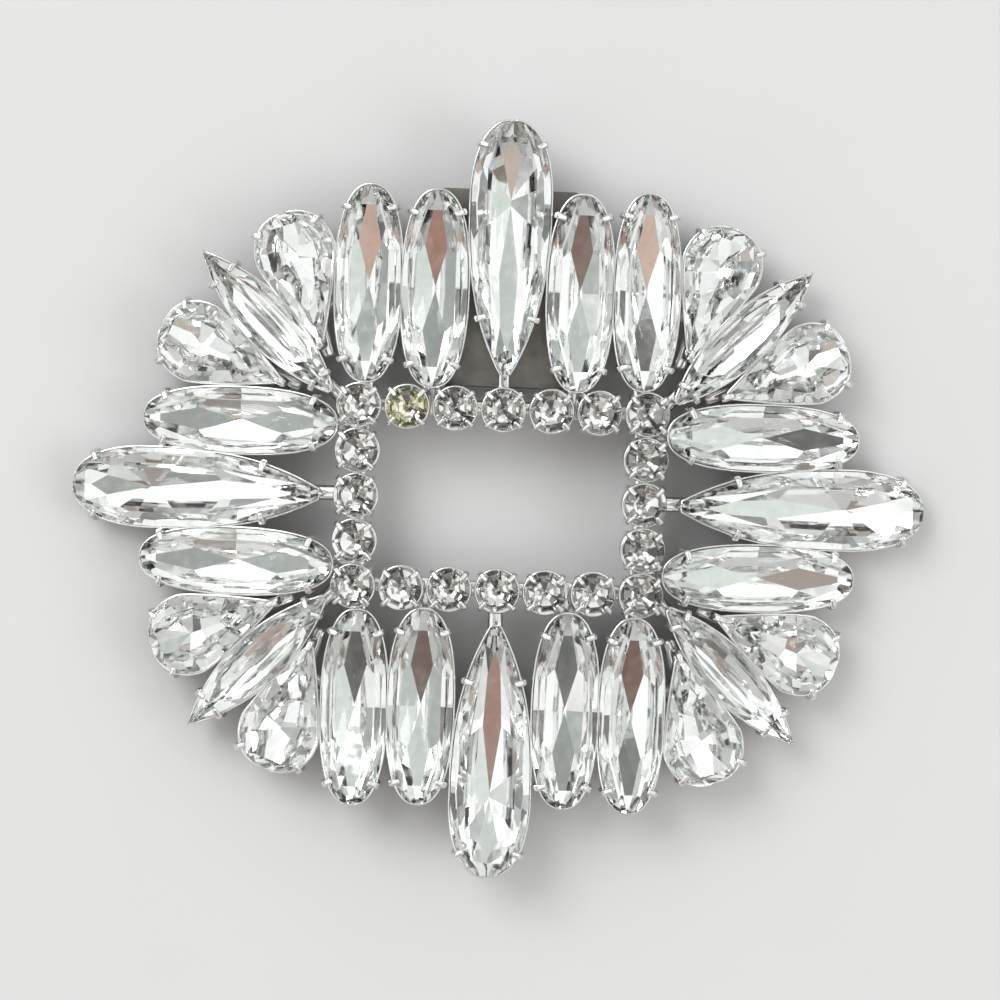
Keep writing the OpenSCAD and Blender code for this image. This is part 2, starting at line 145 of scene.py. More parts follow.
# Kind and place of every stone, the large ones first
SEATS = ([(kind, place_of(kind, start, lean)) for name, kind, start, lean in STONES]
         + [("round", on_arch(x, y, 0)) for x, y in ROUND_PLACES])


# Outlines, and the number of steps in which one side is measured
MEASURED_STEPS = 36


def bulge(angle, fullness):
    """A sine whose arcs are fuller than a circle's where fullness is above 2."""
    s = math.sin(angle)
    return math.copysign(abs(s) ** (2 / fullness), s)


def side_of(kind, n):
    """Right-hand side from the inner end to the outer one: shares of half the width and of the length."""
    if kind in ("oval", "round"):
        full = OVAL_FULLNESS if kind == "oval" else 2
        return [(bulge(math.pi * i / n, full), (1 + bulge(math.pi * i / n - math.pi / 2, full)) / 2)
                for i in range(n + 1)]
    if kind == "navette":
        return [(1 - (2 * i / n - 1) ** 2, i / n) for i in range(n + 1)]
    h = n // 2
    flank = [(1 - (1 - i / h) ** SWELL[kind], PEAR_HEART * i / h) for i in range(h)]
    head = [(bulge(math.pi / 2 - math.pi * i / n, PEAR_FULLNESS),
             PEAR_HEART + (1 - PEAR_HEART) * bulge(math.pi * i / n, PEAR_FULLNESS)) for i in range(h + 1)]
    return flank + head


def outline_of(kind, n):
    """Whole outline of n points, anticlockwise from the inner end, about the middle of the stone."""
    half, length = KINDS[kind].width / 2, KINDS[kind].length
    side = side_of(kind, n // 2)
    right = [Vector((half * x, length * (y - 0.5))) for x, y in side]
    left = [Vector((-half * x, length * (y - 0.5))) for x, y in side[-2:0:-1]]
    return right + left


def on_side(kind, share):
    """Place on the right-hand side of an outline at a share of the length, and the way that it runs."""
    half, length = KINDS[kind].width / 2, KINDS[kind].length
    side = [Vector((half * x, length * (y - 0.5))) for x, y in side_of(kind, MEASURED_STEPS)]
    at = length * (share - 0.5)
    for a, b in zip(side, side[1:]):
        if a.y <= at <= b.y:
            return a + (b - a) * ((at - a.y) / (b.y - a.y)), math.atan2(b.y - a.y, b.x - a.x)
    raise ValueError(kind)


def inset(points, distance):
    """A closed outline moved inwards."""
    n = len(points)
    out = []
    for i, p in enumerate(points):
        a = (p - points[i - 1]).normalized()
        b = (points[(i + 1) % n] - p).normalized()
        na, nb = Vector((-a.y, a.x)), Vector((-b.y, b.x))
        out.append(p + (na + nb) * (distance / (1 + na.dot(nb))))
    return out


def circle(n):
    """Cosines and sines of n even steps round a circle."""
    return [(math.cos(math.tau * k / n), math.sin(math.tau * k / n)) for k in range(n)]


# Mesh helpers. Edges sharper than this many degrees are rounded, in so many steps
SHARP_ANGLE, BEVEL_STEPS = 35, 3


def new_object(name, bm, materials, smooth=False):
    """An object of a bmesh, which is freed."""
    mesh = bpy.data.meshes.new(name)
    bm.normal_update()
    bm.to_mesh(mesh)
    bm.free()
    for m in materials:
        mesh.materials.append(m)
    if smooth:
        for p in mesh.polygons:
            p.use_smooth = True
    ob = bpy.data.objects.new(name, mesh)
    bpy.context.scene.collection.objects.link(ob)
    return ob


def finish_piece(ob, node):
    """Gives a piece its body and the CAD node that it replaces."""
    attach(ob, "root")
    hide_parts(node)


def outward(bm):
    """Turns all faces outwards."""
    bmesh.ops.recalc_face_normals(bm, faces=bm.faces[:])


def add_rings(bm, rings, closed_path=False, cap=False):
    """Joins closed rings of points, each a list of Vectors, into a skin."""
    rows = [[bm.verts.new(p * MM) for p in ring] for ring in rings]
    n = len(rings[0])
    last = len(rows) if closed_path else len(rows) - 1
    for r in range(last):
        a, b = rows[r], rows[(r + 1) % len(rows)]
        for i in range(n):
            j = (i + 1) % n
            bm.faces.new((a[i], a[j], b[j], b[i]))
    if cap:
        bm.faces.new(rows[0][::-1])
        bm.faces.new(rows[-1])


def add_slab(bm, outline, matrix, thick):
    """An outline raised by thick, in the matrix's frame."""
    low = [bm.verts.new((matrix @ Vector((p[0], p[1], 0))) * MM) for p in outline]
    top = [bm.verts.new((matrix @ Vector((p[0], p[1], thick))) * MM) for p in outline]
    n = len(outline)
    bm.faces.new(low[::-1])
    bm.faces.new(top)
    for i in range(n):
        bm.faces.new((low[i], low[(i + 1) % n], top[(i + 1) % n], top[i]))


def along(points, i, closed):
    """The way that a line of points runs at one of them."""
    last = len(points) - 1
    if closed:
        return (points[(i + 1) % len(points)] - points[i - 1]).normalized()
    return (points[min(i + 1, last)] - points[max(i - 1, 0)]).normalized()


def bevelled(ob, width):
    """Rounds the sharp edges."""
    mod = ob.modifiers.new("bevel", "BEVEL")
    mod.width, mod.segments, mod.limit_method = width * MM, BEVEL_STEPS, "ANGLE"
    mod.angle_limit = math.radians(SHARP_ANGLE)
    mod.harden_normals = True
    for p in ob.data.polygons:
        p.use_smooth = True


# Materials
def nodes_of(name):
    mat = bpy.data.materials.new(name)
    mat.use_nodes = True
    tree = mat.node_tree
    return mat, tree, tree.nodes["Principled BSDF"]


def add(tree, kind, **values):
    """A new node with values for its sockets or its settings."""
    node = tree.nodes.new(kind)
    for key, value in values.items():
        if key in node.inputs:
            node.inputs[key].default_value = value
        else:
            setattr(node, key, value)
    return node


def noise(tree, scale, detail, rough=0.5, stretch=(1, 1, 1)):
    """Noise in the object's own space, with scale spots to a metre."""
    coord = add(tree, "ShaderNodeTexCoord")
    mapping = add(tree, "ShaderNodeMapping")
    mapping.inputs["Scale"].default_value = stretch
    tree.links.new(coord.outputs["Object"], mapping.inputs["Vector"])
    tex = add(tree, "ShaderNodeTexNoise", Scale=scale, Detail=detail, Roughness=rough)
    tree.links.new(mapping.outputs["Vector"], tex.inputs["Vector"])
    return tex.outputs["Fac"]


def ramp(tree, source, stops):
    """Colours by the source's value. Each stop is a value and a colour."""
    node = add(tree, "ShaderNodeValToRGB")
    elements = node.color_ramp.elements
    while len(elements) < len(stops):
        elements.new(0.5)
    for e, (at, colour) in zip(elements, stops):
        e.position = at
        e.color = (*colour, 1)
    tree.links.new(source, node.inputs["Fac"])
    return node.outputs["Color"]


def grey(v):
    return (v, v, v)


def make_glass():
    """Clear crystal with a faint cloud in its tint."""
    mat, tree, bsdf = nodes_of("crystal_glass")
    bsdf.inputs["Transmission Weight"].default_value = 1.0
    bsdf.inputs["IOR"].default_value = 1.56
    bsdf.inputs["Roughness"].default_value = 0.0
    cloud = noise(tree, scale=1300, detail=1)
    tint = ramp(tree, cloud, [(0.35, (0.965, 0.985, 0.98)), (0.65, (0.995, 1.0, 0.998))])
    tree.links.new(tint, bsdf.inputs["Base Color"])
    return mat


def make_foil(name, low, high):
    """Mirror foil behind a stone, clouded from the low colour to the high one."""
    mat, tree, bsdf = nodes_of(name)
    bsdf.inputs["Metallic"].default_value = 1.0
    cloud = noise(tree, scale=1100, detail=1)
    tree.links.new(ramp(tree, cloud, [(0.3, low), (0.7, high)]), bsdf.inputs["Base Color"])
    tree.links.new(ramp(tree, cloud, [(0.35, grey(0.02)), (0.8, grey(0.08))]), bsdf.inputs["Roughness"])
    return mat


def make_metal(name, low, high, rough, scratch):
    """Metal with patches of tone and gloss, and fine scratches that are stretched by scratch."""
    mat, tree, bsdf = nodes_of(name)
    bsdf.inputs["Metallic"].default_value = 1.0
    patches = noise(tree, scale=420, detail=3, rough=0.6)
    tree.links.new(ramp(tree, patches, [(0.3, low), (0.72, high)]), bsdf.inputs["Base Color"])
    gloss = noise(tree, scale=950, detail=2, rough=0.65)
    stops = [(0.3, grey(rough[0])), (0.75, grey(rough[1]))]
    tree.links.new(ramp(tree, gloss, stops), bsdf.inputs["Roughness"])
    relief = add(tree, "ShaderNodeBump", Strength=0.16, Distance=0.04 * MM)
    scratches = noise(tree, scale=1400, detail=3, rough=0.7, stretch=scratch)
    tree.links.new(scratches, relief.inputs["Height"])
    tree.links.new(relief.outputs["Normal"], bsdf.inputs["Normal"])
    return mat


glass = make_glass()
foil = make_foil("mirror_foil", (0.83, 0.845, 0.835), (0.93, 0.93, 0.92))
small_foil = make_foil("small_foil", (0.76, 0.755, 0.74), (0.92, 0.915, 0.90))
# A dark foil on some facets of every round stone: painted dark reflections
painted_reflection_foil = make_foil("painted_reflection_foil", (0.19, 0.185, 0.18), (0.33, 0.325, 0.315))
yellow_foil = make_foil("yellowed_foil", (0.72, 0.70, 0.54), (0.88, 0.86, 0.68))
silver = make_metal("silver_plate", (0.66, 0.66, 0.65), (0.86, 0.86, 0.85), (0.10, 0.26), (1, 1, 1))
# The clip plate's near-black colour is painted shade, where the plate lies behind the stones; its duller
# gloss is its own finish
shade_painted_plate = make_metal("shade_painted_plate_metal", (0.115, 0.11, 0.098), (0.19, 0.182, 0.165), (0.32, 0.5), (1, 7, 1))
steel = make_metal("spring_steel", (0.52, 0.53, 0.54), (0.68, 0.69, 0.70), (0.22, 0.42), (12, 0.6, 1))

# Cut stones. Directions of the main facets in degrees, 0 to the side and 90 to the outer end
EIGHT = (0, 45, 90, 135, 180, 225, 270, 315)
PEAR_CROWN = (0, 45, 90, 135, 180, 222, 318)
CROWN_MAINS = {
    "round": EIGHT,
    "oval": EIGHT,
    "long_pear": PEAR_CROWN,
    "short_pear": PEAR_CROWN,
    "navette": (0, 22, 60, 120, 158, 180, 202, 240, 300, 338),
}
BACK_MAINS = {
    "round": EIGHT,
    "oval": (12, 90, 168, 192, 270, 348),
    "long_pear": (0, 30, 60, 90, 120, 150, 180, 200, 270, 340),
    "short_pear": (0, 45, 90, 135, 180, 222, 270, 318),
    "navette": (0, 180),
}
# Girdle facets between the main ones: their places as shares of the gap, and how much steeper they are
UPPER_GIRDLE, UPPER_STEEPNESS = (0.27, 0.73), 1.32
LOWER_GIRDLE, LOWER_STEEPNESS = (0.3, 0.7), 1.3
NO_UPPER_GIRDLE, NO_LOWER_GIRDLE = ("round", "navette"), ("round", "short_pear")
# A pear has no girdle facets that point closer to its tip than this, as the sine of their direction
TIPWARD = -0.85
# Share of the pavilion's depth at which its main facets start
BACK_START = 0.15
# Share of the length that the pavilion's keel keeps, and the table's shares of the width and length
KEEL = {"round": 0.02, "oval": 0.02, "long_pear": 0.02, "short_pear": 0.02, "navette": 0.4}
TABLE = {"round": (0.56, 0.56), "oval": (0.64, 0.80), "long_pear": (0.62, 0.80),
         "short_pear": (0.62, 0.70), "navette": (0.52, 0.72)}
# Sides of the prism that a stone is ground from
BLANK_SIDES, ROUND_BLANK_SIDES = 72, 32
# Facets of a round stone's pavilion whose foil is dark, a painted dark reflection, counted in eighths of a
# turn
PAINTED_REFLECTION_EIGHTHS = (0, 3)
# A stone's materials by number. Only the round stones have the last two
GLASS, FOIL, YELLOWED, PAINTED_REFLECTION = range(4)
# Faces whose normal has a z below this are foiled
FOILED_Z = -0.1
# Directions whose sine is smaller than this point to the side
SIDEWARD = 1e-6
# Distances within which a point is on a plane, a point is on a cut's rim, two points of a rim are one, two
# corners are welded and an edge is dissolved
ON_PLANE, ON_RIM, SAME_POINT, WELD, SLIVER = 1e-7, 1e-6, 1e-5, 2e-4, 1e-4


def ground(faces, place, normal):
    """Grinds a facet on a convex stone, given as a list of flat polygons: what lies beyond the plane goes,
    and the cut is closed with one polygon."""
    kept, rim = [], []
    for poly in faces:
        out = []
        for a, b in zip(poly, poly[1:] + poly[:1]):
            da, db = (a - place).dot(normal), (b - place).dot(normal)
            if da <= ON_PLANE:
                out.append(a)
            if (da < -ON_PLANE and db > ON_PLANE) or (da > ON_PLANE and db < -ON_PLANE):
                out.append(a + (b - a) * (da / (da - db)))
        if len(out) > 2:
            kept.append(out)
            rim += [p for p in out if abs((p - place).dot(normal)) < ON_RIM]
    if len(rim) > 2 and kept:
        middle = sum(rim, Vector()) / len(rim)
        u = normal.orthogonal().normalized()
        v = normal.cross(u)
        rim.sort(key=lambda p: math.atan2((p - middle).dot(v), (p - middle).dot(u)))
        lid = [p for p, q in zip(rim, rim[-1:] + rim[:-1]) if (p - q).length > SAME_POINT]
        if len(lid) > 2:
            kept.append(lid)
    return kept


def prism(kind):
    """The blank that a stone is ground from, as flat polygons."""
    outline = outline_of(kind, ROUND_BLANK_SIDES if kind == "round" else BLANK_SIDES)
    top = [Vector((p.x, p.y, KINDS[kind].crown)) for p in outline]
    low = [Vector((p.x, p.y, -KINDS[kind].pavilion)) for p in outline]
    n = len(outline)
    return [top, low[::-1]] + [[low[i], low[(i + 1) % n], top[(i + 1) % n], top[i]] for i in range(n)]


def around(mains):
    """Directions of the main facets in radians, each with the gap to the next."""
    mains = [math.radians(a) for a in mains]
    return [(a, (b - a) % math.tau) for a, b in zip(mains, mains[1:] + mains[:1])]


def cut_faces(kind):
    """Flat faces of a cut stone, in millimetres about its girdle's middle. Its facets are set out on an
    outline shrunk to a unit, about the place where a pear is widest and the middle of other stones."""
    half, half_length = KINDS[kind].width / 2, KINDS[kind].length / 2
    crown, pavilion, edge = KINDS[kind].crown, KINDS[kind].pavilion, GIRDLE / 2
    faces = prism(kind)
    heart = KINDS[kind].length * (PEAR_HEART - 0.5) if kind in SWELL else 0.0
    centre = Vector((0, heart / half_length))
    outline = outline_of(kind, ROUND_BLANK_SIDES if kind == "round" else BLANK_SIDES)
    unit = [Vector((p.x / half, p.y / half_length)) - centre for p in outline]
    table, keel = TABLE[kind], KEEL[kind]

    def support(angle):
        """How far the unit outline reaches in a direction, and that direction."""
        d = Vector((math.cos(angle), math.sin(angle)))
        return max(p.dot(d) for p in unit), d

    def facet(angle, near, slope, sign):
        """Grinds a plane that stands at the height near at the outline and rises inwards by slope."""
        nonlocal faces
        reach, d = support(angle)
        normal = Vector((slope * d.x / half, slope * d.y / half_length, sign)).normalized()
        at = centre + d * reach
        faces = ground(faces, Vector((at.x * half, at.y * half_length, sign * near)), normal)

    def crown_run(angle):
        """From the outline in to the table."""
        reach, d = support(angle)
        return reach * (1 - math.hypot(table[0] * d.x, table[1] * d.y))

    def back_run(angle):
        """From the outline in to the keel."""
        reach, d = support(angle)
        if abs(d.y) < SIDEWARD:
            return reach
        keel_end = Vector((0, keel * (1 - centre.y if d.y > 0 else -1 - centre.y)))
        return reach - keel_end.dot(d)

    for a, gap in around(CROWN_MAINS[kind]):
        facet(a, edge, (crown - edge) / crown_run(a), 1)
        if kind not in NO_UPPER_GIRDLE:
            for b in (a + gap * share for share in UPPER_GIRDLE):
                facet(b, edge, UPPER_STEEPNESS * (crown - edge) / crown_run(b), 1)
    start = edge + BACK_START * (pavilion - edge)
    for a, gap in around(BACK_MAINS[kind]):
        facet(a, start, (pavilion - start) / back_run(a), -1)
        if kind not in NO_LOWER_GIRDLE:
            for b in (a + gap * share for share in LOWER_GIRDLE):
                if kind not in SWELL or math.sin(b) >= TIPWARD:
                    facet(b, edge, LOWER_STEEPNESS * (pavilion - edge) / back_run(b), -1)
    return faces


def cut_stone(kind):
    """Mesh of a cut stone, which every stone of its kind copies."""
    bm = bmesh.new()
    for poly in cut_faces(kind):
        bm.faces.new([bm.verts.new(p) for p in poly])
    bmesh.ops.remove_doubles(bm, verts=bm.verts[:], dist=WELD)
    bmesh.ops.dissolve_degenerate(bm, edges=bm.edges[:], dist=SLIVER)
    outward(bm)
    for f in bm.faces:
        f.smooth = False
        f.material_index = FOIL if f.normal.z < FOILED_Z else GLASS
        eighth = round(math.degrees(math.atan2(f.normal.y, f.normal.x)) / 45) % 8
        # Facets in these directions get the dark foil, a painted dark reflection
        if kind == "round" and f.material_index == FOIL and eighth in PAINTED_REFLECTION_EIGHTHS:
            f.material_index = PAINTED_REFLECTION
    mesh = bpy.data.meshes.new("cut_" + kind)
    bm.to_mesh(mesh)
    bm.free()
    return mesh


# Each stone sits a little askew, by up to this many degrees, and turns by a share of that
LONG_SWAY, LARGE_SWAY, ROUND_SWAY, TURN_SHARE = 0.35, 0.5, 1.5, 0.4
# The north pear's outer end stands proud instead
NORTH_PEAR_LIFT = 0.5
# The round stone whose foil has yellowed is the north row's second
YELLOWED_PLACE = (pitch.x - corner.x, (ROUNDS[1] - 1) * pitch.y - corner.y)


def askew(sway):
    """A stone's own small tilt in its setting."""
    a = math.radians(sway)
    tilt = Euler((rng.uniform(-a, a), rng.uniform(-a, a), rng.uniform(-a, a) * TURN_SHARE))
    return tilt.to_matrix().to_4x4()


def make_large_stones(cuts):
    for name, kind, start, lean in STONES:
        if name == "north_pear":
            tilt = Euler((math.radians(NORTH_PEAR_LIFT), 0, 0)).to_matrix().to_4x4()
        else:
            tilt = askew(LONG_SWAY if kind == "long_pear" else LARGE_SWAY)
        bm = bmesh.new()
        bm.from_mesh(cuts[kind])
        place = Matrix.Scale(MM, 4) @ place_of(kind, start, lean) @ tilt
        bmesh.ops.transform(bm, matrix=place, verts=bm.verts[:])
        finish_piece(new_object("stone_" + name, bm, (glass, foil)), name)


def make_round_stones(cut):
    bm = bmesh.new()
    for x, y in ROUND_PLACES:
        place = Matrix.Scale(MM, 4) @ on_arch(x, y, rng.uniform(0, 45)) @ askew(ROUND_SWAY)
        old = set(bm.verts)
        bm.from_mesh(cut)
        new = [v for v in bm.verts if v not in old]
        bmesh.ops.transform(bm, matrix=place, verts=new)
        if (x, y) == YELLOWED_PLACE:
            for f in {f for v in new for f in v.link_faces if f.material_index == FOIL}:
                f.material_index = YELLOWED
    ob = new_object("rhinestones", bm, (glass, small_foil, yellow_foil, painted_reflection_foil))
    finish_piece(ob, "round_stones")


# The thin rim of the cup that shows round a stone: the wire's radius, how far it lies outside the girdle and
# below its middle, and the points of its line
Rim = namedtuple("Rim", "radius outside below points")
LARGE_RIM, ROUND_RIM = Rim(0.11, 0.1, 0.28, 96), Rim(0.12, 0.025, 0.3, 36)
# Its sides, and its size at the first points of an open end
RIM_SIDES, RIM_TAPER = 8, (0.5, 0.9, 1.0)
# A pointed stone's rim is open at the inner point. It ends at this share of half the length
RIM_END = {"long_pear": 0.985, "short_pear": 0.985, "navette": 0.97}


def rim_line(kind):
    """Middle line of a rim in its stone's own frame."""
    if kind == "round":
        reach = ROUND_D / 2 + ROUND_RIM.outside
        return [Vector((reach * c, reach * s, -ROUND_RIM.below)) for c, s in circle(ROUND_RIM.points)]
    line = inset(outline_of(kind, LARGE_RIM.points), -LARGE_RIM.outside)
    if kind in RIM_END:
        line = [p for p in line if p.y > -KINDS[kind].length / 2 * RIM_END[kind]]
        line.sort(key=lambda p: math.atan2(p.x, -p.y))
    return [Vector((p.x, p.y, -LARGE_RIM.below)) for p in line]


def add_rim(bm, points, r, closed):
    """A thin round wire along points, which tapers at open ends."""
    last = len(points) - 1
    rings = []
    for i, p in enumerate(points):
        ahead = along(points, i, closed)
        up = (Vector((0, 0, 1)) - ahead * ahead.z).normalized()
        across = ahead.cross(up)
        size = r if closed else r * RIM_TAPER[min(i, last - i, 2)]
        rings.append([p + (across * c + up * s) * size for c, s in circle(RIM_SIDES)])
    add_rings(bm, rings, closed_path=closed, cap=not closed)


def make_cup_rims():
    bm = bmesh.new()
    for kind, place in SEATS:
        rim = ROUND_RIM if kind == "round" else LARGE_RIM
        add_rim(bm, [place @ p for p in rim_line(kind)], rim.radius, kind not in RIM_END)
    outward(bm)
    finish_piece(new_object("cup_rims", bm, (silver,), smooth=True), "frame")


# Settings' walls: points of the outline, the radius of the edges, and where the middle of an edge lies, as a
# share of it
WALL_POINTS, ROUND_WALL_POINTS = 64, 32
EDGE_R, EDGE_MIDDLE = 0.09, 0.3


def wall_top(kind):
    """Height at which a setting's wall ends, just below the pavilion."""
    half, pavilion = KINDS[kind].width / 2, KINDS[kind].pavilion
    return -GIRDLE / 2 - SEAT_GAP - (RIM_INSET + WALL) * (pavilion - GIRDLE / 2) / half


def add_wall(bm, kind, matrix):
    """A band inside the stone's outline with softly rounded edges."""
    outline = outline_of(kind, ROUND_WALL_POINTS if kind == "round" else WALL_POINTS)
    outer, inner, low, top = RIM_INSET, RIM_INSET + WALL, -SETTING_DEPTH, wall_top(kind)
    r, m = EDGE_R, EDGE_R * EDGE_MIDDLE
    profile = [(outer + r, low), (outer + m, low + m), (outer, low + r),
               (outer, top - r), (outer + m, top - m), (outer + r, top),
               (inner - r, top), (inner - m, top - m), (inner, top - r),
               (inner, low + r), (inner - m, low + m), (inner - r, low)]
    rings = [[matrix @ Vector((p.x, p.y, z)) for p in inset(outline, d)] for d, z in profile]
    add_rings(bm, rings, closed_path=True)


def make_walls():
    bm = bmesh.new()
    for kind, place in SEATS:
        add_wall(bm, kind, place)
    outward(bm)
    finish_piece(new_object("setting_walls", bm, (silver,), smooth=True), "frame")


# Claws: width and thickness, gap to the girdle, clearance above it and reach over the stone
LARGE_CLAW, ROUND_CLAW = (0.6, 0.4), (0.45, 0.3)
CLAW_GAP, CLAW_LIFT, CLAW_OVER = 0.12, 0.1, 0.45
# Their slope over a large stone, as a multiple of the crown's height over half the width, and how high they
# would rise over half the width of a round one
CLAW_STEEPNESS, ROUND_CLAW_RISE = 2.668, 1.45
# Steps to a stretch of a claw's line, its sides, and its fullness across and through
CLAW_STEPS, CLAW_SIDES, CLAW_FULLNESS = 3, 10, (3, 2.6)
# A claw gets thinner from this share of its line on, by this much at its tip, and its end is rounded
THIN_FROM, THIN_BY = 0.55, 0.38
END_STEPS, END_SHARE = 1.6, 0.35
# Claws bent by hand are turned by up to this many degrees
CLAW_JITTER = 4


def claw_slope(kind):
    half = KINDS[kind].width / 2
    if kind == "round":
        return ROUND_CLAW_RISE / half
    return CLAW_STEEPNESS * (KINDS[kind].crown - GIRDLE / 2) / half


def smooth_path(points, steps):
    """Catmull-Rom curve through points."""
    out = []
    for i in range(len(points) - 1):
        p0 = points[max(i - 1, 0)]
        p1, p2 = points[i], points[i + 1]
        p3 = points[min(i + 2, len(points) - 1)]
        for k in range(steps):
            t = k / steps
            out.append(0.5 * ((2 * p1) + (p2 - p0) * t + (2 * p0 - 5 * p1 + 4 * p2 - p3) * t * t
                              + (3 * p1 - p0 - 3 * p2 + p3) * t ** 3))
    out.append(points[-1])
    return out


def claw_line(thick, slope, root):
    """A claw's middle line, out of the wall, up past the girdle and over the stone. The stone's edge is at
    the origin, and the stone on the -Y side."""
    top, rise, out = GIRDLE / 2 + CLAW_GAP + CLAW_LIFT, slope * CLAW_OVER, CLAW_GAP + thick / 2
    return smooth_path([Vector((0, y, z)) for y, z in (
        (-root + 0.05, -SETTING_DEPTH + 0.75),
        (out - 0.22, -SETTING_DEPTH + 0.95),
        (out, -0.85),
        (out, -0.1),
        (out - 0.02, top + thick * 0.2),
        (out - 0.2, top + thick * 0.72 + rise * 0.2),
        (-CLAW_OVER * 0.55, top + thick * 0.5 + rise * 0.65),
        (-CLAW_OVER, top + thick * 0.34 + rise))], CLAW_STEPS)


def add_claw(bm, matrix, size, slope, root):
    """A flattened wire of a width and thickness along a claw's line, thinner towards its tip."""
    line = claw_line(size[1], slope, root)
    side, last = Vector((1, 0, 0)), len(line) - 1
    angles = [math.tau * k / CLAW_SIDES for k in range(CLAW_SIDES)]
    rings = []
    for i, p in enumerate(line):
        normal = along(line, i, False).cross(side)
        share = 1.0 - THIN_BY * max(0, (i / last - THIN_FROM) / (1 - THIN_FROM))
        share *= min(1.0, (last - i) / END_STEPS + END_SHARE)
        half_w, half_t = size[0] / 2 * share, size[1] / 2 * share
        rings.append([matrix @ (p + side * (half_w * bulge(a + math.pi / 2, CLAW_FULLNESS[0]))
                                + normal * (half_t * bulge(a, CLAW_FULLNESS[1]))) for a in angles])
    add_rings(bm, rings, cap=True)


def turned(angle):
    return Matrix.Rotation(angle, 4, "Z")


def claw_feet(kind):
    """Where a stone's claws stand on its outline, and how deep each is rooted in the wall."""
    root = RIM_INSET + WALL / 2
    if kind == "round":
        return [(turned(math.radians(45 + 90 * k)) @ Matrix.Translation((0, ROUND_D / 2, 0)), root)
                for k in range(4)]
    feet = []
    for at, turn in (on_side(kind, share) for share in KINDS[kind].claws):
        foot = Matrix.Translation((at.x, at.y, 0)) @ turned(turn + math.pi)
        feet += [(foot, root), (Matrix.Diagonal((-1, 1, 1, 1)) @ foot, root)]
    if KINDS[kind].tip_claw:
        tip = Matrix.Translation((0, -KINDS[kind].length / 2, 0)) @ turned(math.pi)
        feet.append((tip, RIM_INSET + 2 * WALL))
    return feet


def make_claws():
    bm = bmesh.new()
    for kind, place in SEATS:
        size = ROUND_CLAW if kind == "round" else LARGE_CLAW
        for foot, root in claw_feet(kind):
            jitter = turned(math.radians(rng.uniform(-CLAW_JITTER, CLAW_JITTER)))
            add_claw(bm, place @ foot @ jitter, size, claw_slope(kind), root)
    outward(bm)
    finish_piece(new_object("claws", bm, (silver,), smooth=True), "frame")


# The wires behind: width, thickness and how deep they sink into the settings, then their sides, fullness and
# size at the first points of an open end
WIRE_W, WIRE_T, WIRE_SINK = 1.2, 0.8, 0.1
WIRE_SIDES, WIRE_FULLNESS, WIRE_TAPER = 14, 2.8, (0.55, 0.86, 1.0)
# Reach of the oval ring past the corner stones, and the inner loop's bends and steps
RING_REACH, RING_POINTS = Vector((13.1, 11.4)), 144
BEND_R, BEND_STEPS, LOOP_STEP = 0.7, 4, 1.0
# How far a spoke runs on either side of a stone's inner end, and where its taper has its points
SPOKE_BACK = {"oval": 2.4, "long_pear": 2.4, "short_pear": 1.2, "navette": 1.2}
SPOKE_AHEAD, SPOKE_STEPS = 4.5, 6
TAPER_START, TAPER_END = 0.06, 0.22


def wire_point(x, y):
    """Middle of a wire behind the settings, at a place of the plan."""
    depth = SETTING_DEPTH - WIRE_SINK + WIRE_T / 2
    t = arch_turn(x)
    return Vector((x - depth * math.sin(t), y, arch_z(x) - depth * math.cos(t)))


def add_wire(bm, plan, closed):
    """A flattened wire along points of the plan, laid on the arch, which tapers at open ends."""
    line = [wire_point(p.x, p.y) for p in plan]
    last = len(line) - 1
    angles = [math.tau * k / WIRE_SIDES for k in range(WIRE_SIDES)]
    rings = []
    for i, p in enumerate(line):
        ahead = along(line, i, closed)
        up = Vector((math.sin(arch_turn(p.x)), 0, math.cos(arch_turn(p.x))))
        across = ahead.cross(up).normalized()
        up = across.cross(ahead)
        share = 1.0 if closed else WIRE_TAPER[min(i, last - i, 2)]
        half_w, half_t = WIRE_W / 2 * share, WIRE_T / 2 * share
        rings.append([p + across * (half_w * bulge(a + math.pi / 2, WIRE_FULLNESS))
                      + up * (half_t * bulge(a, WIRE_FULLNESS)) for a in angles])
    add_rings(bm, rings, closed_path=closed, cap=not closed)


def oval_ring():
    r = corner + RING_REACH
    return [Vector((r.x * c, r.y * s)) for c, s in circle(RING_POINTS)]


def inner_loop():
    """A rectangle with rounded corners behind the round stones."""
    bends = []
    for east, north, start in ((1, 1, 0), (-1, 1, 90), (-1, -1, 180), (1, -1, 270)):
        x, y = east * (corner.x - BEND_R), north * (corner.y - BEND_R)
        bends += [Vector(p) for p in arc(x, y, BEND_R, start, start + 90, BEND_STEPS)]
    loop = []
    for p, q in zip(bends, bends[1:] + bends[:1]):
        steps = max(1, round((q - p).length / LOOP_STEP))
        loop += [p.lerp(q, k / steps) for k in range(steps)]
    return loop


def spoke(kind, start, lean):
    """A straight wire from behind the round stones to the middle of a large stone's setting."""
    a = math.radians(lean)
    ahead = Vector((math.sin(a), math.cos(a)))
    first, length = Vector(start) - ahead * SPOKE_BACK[kind], SPOKE_BACK[kind] + SPOKE_AHEAD
    middle = [TAPER_END + (length - 2 * TAPER_END) * k / SPOKE_STEPS for k in range(1, SPOKE_STEPS)]
    at = [0, TAPER_START, TAPER_END] + middle + [length - TAPER_END, length - TAPER_START, length]
    return [first + ahead * s for s in at]


def make_wires():
    bm = bmesh.new()
    add_wire(bm, oval_ring(), True)
    add_wire(bm, inner_loop(), True)
    for name, kind, start, lean in STONES:
        add_wire(bm, spoke(kind, start, lean), False)
    outward(bm)
    finish_piece(new_object("back_wires", bm, (silver,), smooth=True), "frame")


# The clip's plate behind the north row. It sinks into the settings
PLATE_W, PLATE_L, PLATE_T, PLATE_R, PLATE_SINK = 12.0, 15.6, 0.8, 1.0, 0.05
PLATE_BEVEL, PLATE_CORNER_STEPS = 0.12, 8
